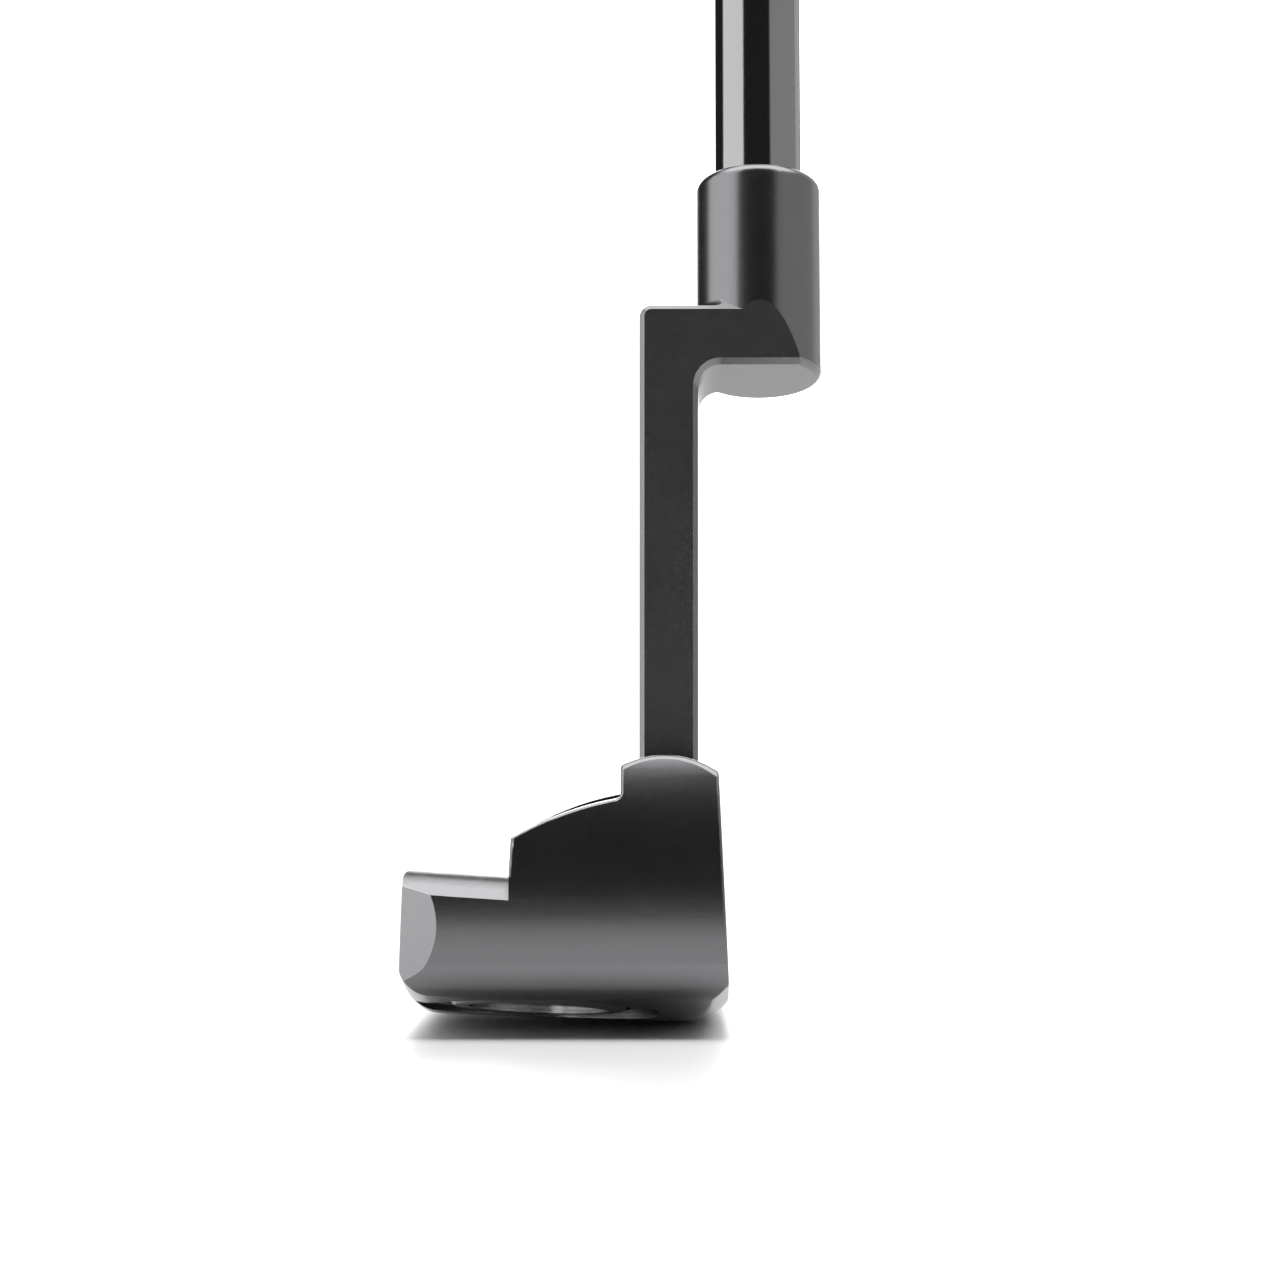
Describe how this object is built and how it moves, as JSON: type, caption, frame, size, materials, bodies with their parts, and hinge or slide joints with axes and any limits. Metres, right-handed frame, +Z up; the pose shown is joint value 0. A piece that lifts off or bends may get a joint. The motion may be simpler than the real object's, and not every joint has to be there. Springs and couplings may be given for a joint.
{
  "type": "golf putter",
  "caption": "Right-handed blade putter with a long plumber's neck, sole weights, stepped steel shaft and pistol grip.",
  "frame": {"origin": "where the sole touches the ground, under the middle of the top line, half way along the head", "axes": "+X the way the face looks, +Y from toe to heel, +Z up with the club at address; the shaft leans towards +Y"},
  "size_m": [0.0487, 0.3366, 0.8294],
  "materials": {
    "black_steel": "satin black finish over milled and bead-blasted steel",
    "weight_steel": "turned steel with a satin black finish",
    "braze": "braze film, hidden",
    "white_paint": "white paint fill",
    "seal_rubber": "matt black rubber",
    "black_chrome": "polished black chrome plate",
    "epoxy": "cured epoxy, hidden",
    "band_film": "plain printed film, clear coated",
    "grip_rubber": "moulded rubber with a fine pattern",
    "tape": "double-sided tape, hidden",
    "cap_rubber": "smooth moulded rubber"
  },
  "bodies": {
    "root": {"head_body": "black_steel", "plumber_neck": "black_steel", "neck_braze": "braze", "sight_line_paint": "white_paint", "toe_weight": "weight_steel", "heel_weight": "weight_steel", "weight_o_rings": "seal_rubber", "weight_marks": "white_paint", "shaft": "black_chrome", "shaft_epoxy": "epoxy", "shaft_band": "band_film", "grip": "grip_rubber", "grip_tape": "tape", "grip_cap": "cap_rubber"}
  },
  "joints": []
}
